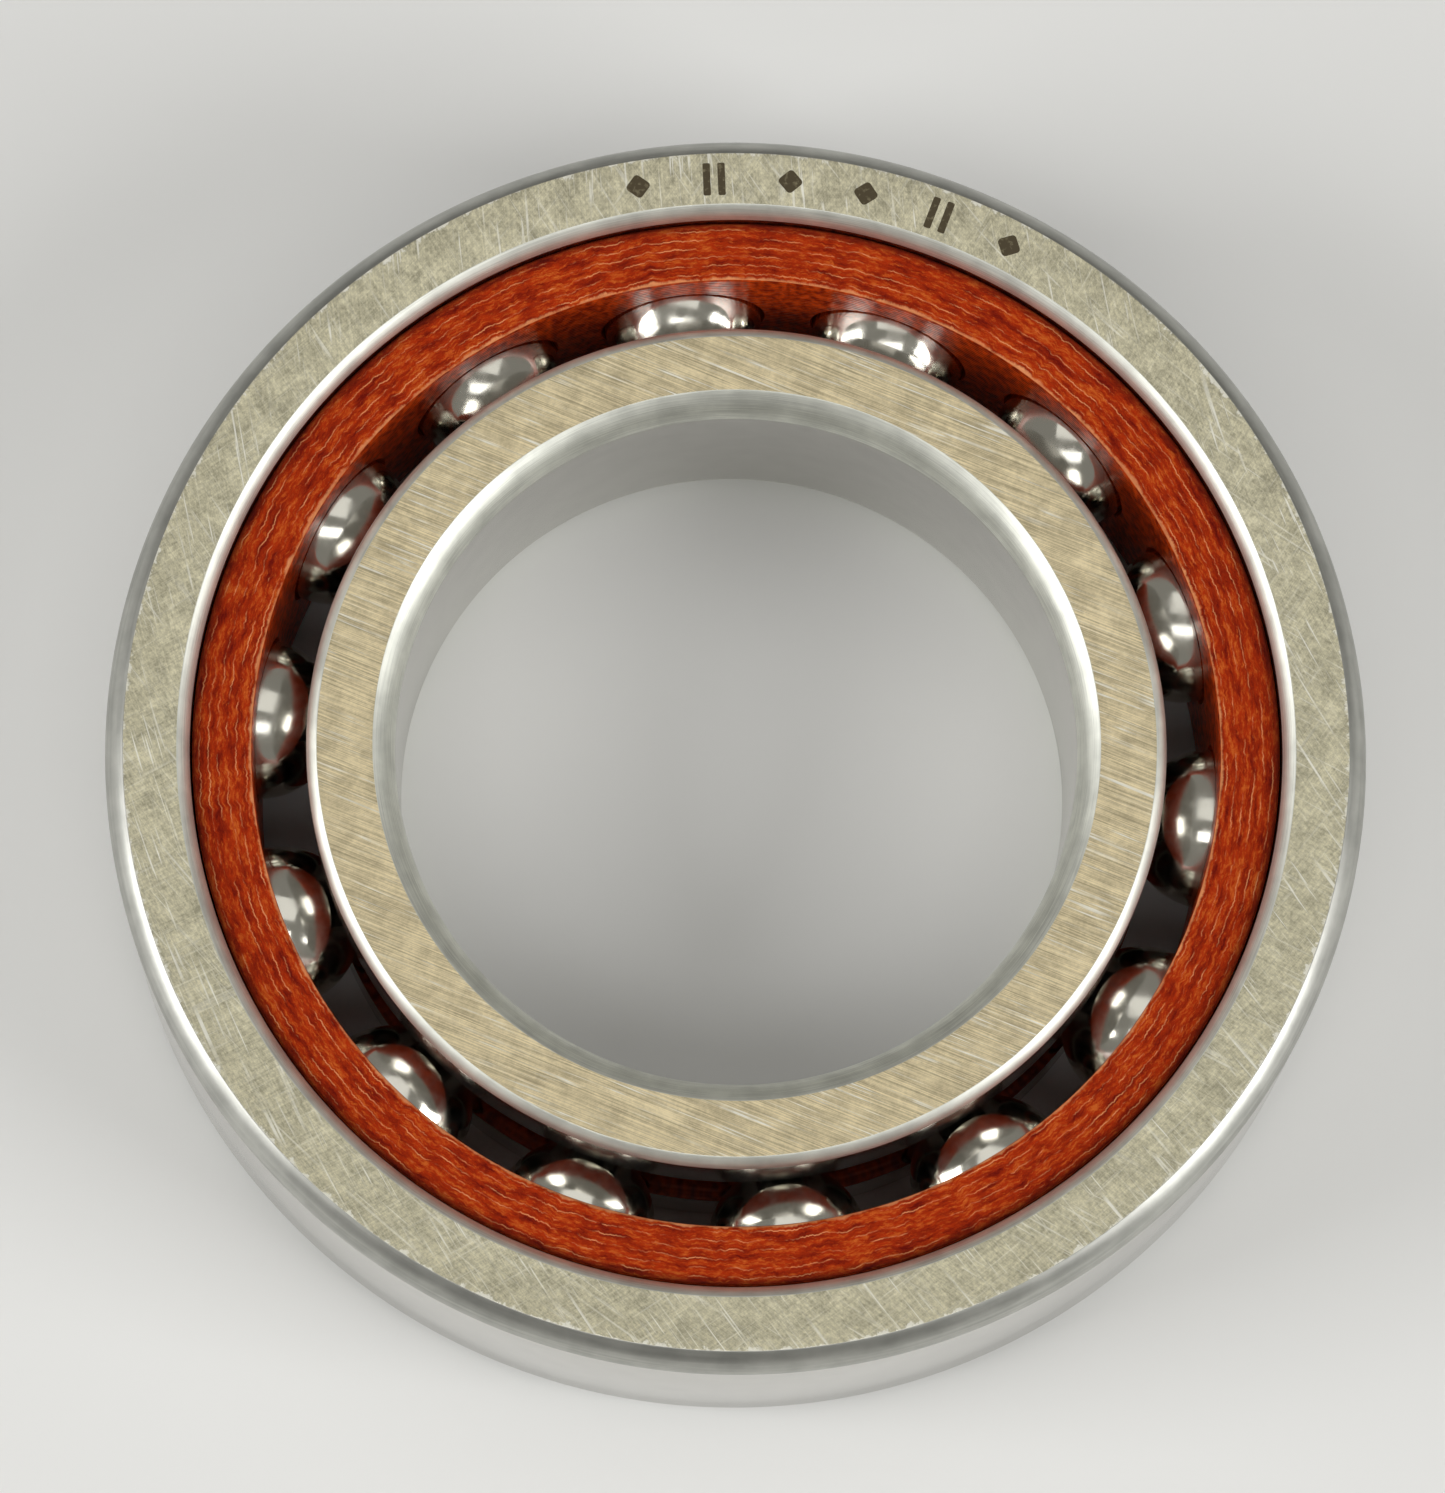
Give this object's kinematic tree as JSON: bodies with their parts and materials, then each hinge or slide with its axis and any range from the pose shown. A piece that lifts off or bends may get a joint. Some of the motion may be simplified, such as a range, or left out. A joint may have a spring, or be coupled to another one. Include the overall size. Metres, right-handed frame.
{
  "type": "angular contact ball bearing",
  "caption": "Open single-row angular contact ball bearing with ground steel rings and a machined fabric-laminate cage; inner ring, cage and balls turn together.",
  "frame": {"origin": "centre of the bearing: on the axis, midway between its two faces", "axes": "+Z along the axis towards the outer ring's wide (thrust) face, where the outer ring's shoulder is high; +X towards ball_01"},
  "size_m": [0.037, 0.037, 0.009],
  "materials": {
    "ring_steel": "ground bearing steel, hardened, fine grinding scratches",
    "ball_steel": "lapped bearing steel, mirror bright",
    "laminated_phenolic": "machined cotton-cloth laminated phenolic, red brown"
  },
  "bodies": {
    "outer_ring": {"outer_ring": "ring_steel"},
    "inner_ring": {"inner_ring": "ring_steel"},
    "cage": {"cage": "laminated_phenolic"},
    "ball_01": {"ball_01": "ball_steel"},
    "ball_02": {"ball_02": "ball_steel"},
    "ball_03": {"ball_03": "ball_steel"},
    "ball_04": {"ball_04": "ball_steel"},
    "ball_05": {"ball_05": "ball_steel"},
    "ball_06": {"ball_06": "ball_steel"},
    "ball_07": {"ball_07": "ball_steel"},
    "ball_08": {"ball_08": "ball_steel"},
    "ball_09": {"ball_09": "ball_steel"},
    "ball_10": {"ball_10": "ball_steel"},
    "ball_11": {"ball_11": "ball_steel"},
    "ball_12": {"ball_12": "ball_steel"},
    "ball_13": {"ball_13": "ball_steel"},
    "ball_14": {"ball_14": "ball_steel"}
  },
  "joints": [
    {"name": "inner_ring_spin", "type": "hinge", "parent": "outer_ring", "child": "inner_ring", "pos_m": [0, 0, 0], "axis": [0, 0, 1], "continuous": true},
    {"name": "cage_orbit", "type": "hinge", "parent": "outer_ring", "child": "cage", "pos_m": [0, 0, 0], "axis": [0, 0, 1], "continuous": true},
    {"name": "ball_01_spin", "type": "hinge", "parent": "cage", "child": "ball_01", "pos_m": [0.01425, -0.00035, 0], "axis": [-0.4225, 0.0103, 0.9063], "continuous": true},
    {"name": "ball_02_spin", "type": "hinge", "parent": "cage", "child": "ball_02", "pos_m": [0.01299, 0.00587, 0], "axis": [-0.3851, -0.174, 0.9063], "continuous": true},
    {"name": "ball_03_spin", "type": "hinge", "parent": "cage", "child": "ball_03", "pos_m": [0.00915, 0.01092, 0], "axis": [-0.2715, -0.3239, 0.9063], "continuous": true},
    {"name": "ball_04_spin", "type": "hinge", "parent": "cage", "child": "ball_04", "pos_m": [0.00351, 0.01381, 0], "axis": [-0.1041, -0.4096, 0.9063], "continuous": true},
    {"name": "ball_05_spin", "type": "hinge", "parent": "cage", "child": "ball_05", "pos_m": [-0.00283, 0.01397, 0], "axis": [0.0839, -0.4142, 0.9063], "continuous": true},
    {"name": "ball_06_spin", "type": "hinge", "parent": "cage", "child": "ball_06", "pos_m": [-0.00861, 0.01135, 0], "axis": [0.2553, -0.3368, 0.9063], "continuous": true},
    {"name": "ball_07_spin", "type": "hinge", "parent": "cage", "child": "ball_07", "pos_m": [-0.01268, 0.00649, 0], "axis": [0.3762, -0.1926, 0.9063], "continuous": true},
    {"name": "ball_08_spin", "type": "hinge", "parent": "cage", "child": "ball_08", "pos_m": [-0.01425, 0.00035, 0], "axis": [0.4225, -0.0103, 0.9063], "continuous": true},
    {"name": "ball_09_spin", "type": "hinge", "parent": "cage", "child": "ball_09", "pos_m": [-0.01299, -0.00587, 0], "axis": [0.3851, 0.174, 0.9063], "continuous": true},
    {"name": "ball_10_spin", "type": "hinge", "parent": "cage", "child": "ball_10", "pos_m": [-0.00915, -0.01092, 0], "axis": [0.2715, 0.3239, 0.9063], "continuous": true},
    {"name": "ball_11_spin", "type": "hinge", "parent": "cage", "child": "ball_11", "pos_m": [-0.00351, -0.01381, 0], "axis": [0.1041, 0.4096, 0.9063], "continuous": true},
    {"name": "ball_12_spin", "type": "hinge", "parent": "cage", "child": "ball_12", "pos_m": [0.00283, -0.01397, 0], "axis": [-0.0839, 0.4142, 0.9063], "continuous": true},
    {"name": "ball_13_spin", "type": "hinge", "parent": "cage", "child": "ball_13", "pos_m": [0.00861, -0.01135, 0], "axis": [-0.2553, 0.3368, 0.9063], "continuous": true},
    {"name": "ball_14_spin", "type": "hinge", "parent": "cage", "child": "ball_14", "pos_m": [0.01268, -0.00649, 0], "axis": [-0.3762, 0.1926, 0.9063], "continuous": true}
  ],
  "couplings": [
    {"joint": "cage_orbit", "follows": "inner_ring_spin", "ratio": 0.42428},
    {"joint": "ball_01_spin", "follows": "inner_ring_spin", "ratio": -2.9238},
    {"joint": "ball_02_spin", "follows": "inner_ring_spin", "ratio": -2.9238},
    {"joint": "ball_03_spin", "follows": "inner_ring_spin", "ratio": -2.9238},
    {"joint": "ball_04_spin", "follows": "inner_ring_spin", "ratio": -2.9238},
    {"joint": "ball_05_spin", "follows": "inner_ring_spin", "ratio": -2.9238},
    {"joint": "ball_06_spin", "follows": "inner_ring_spin", "ratio": -2.9238},
    {"joint": "ball_07_spin", "follows": "inner_ring_spin", "ratio": -2.9238},
    {"joint": "ball_08_spin", "follows": "inner_ring_spin", "ratio": -2.9238},
    {"joint": "ball_09_spin", "follows": "inner_ring_spin", "ratio": -2.9238},
    {"joint": "ball_10_spin", "follows": "inner_ring_spin", "ratio": -2.9238},
    {"joint": "ball_11_spin", "follows": "inner_ring_spin", "ratio": -2.9238},
    {"joint": "ball_12_spin", "follows": "inner_ring_spin", "ratio": -2.9238},
    {"joint": "ball_13_spin", "follows": "inner_ring_spin", "ratio": -2.9238},
    {"joint": "ball_14_spin", "follows": "inner_ring_spin", "ratio": -2.9238}
  ]
}
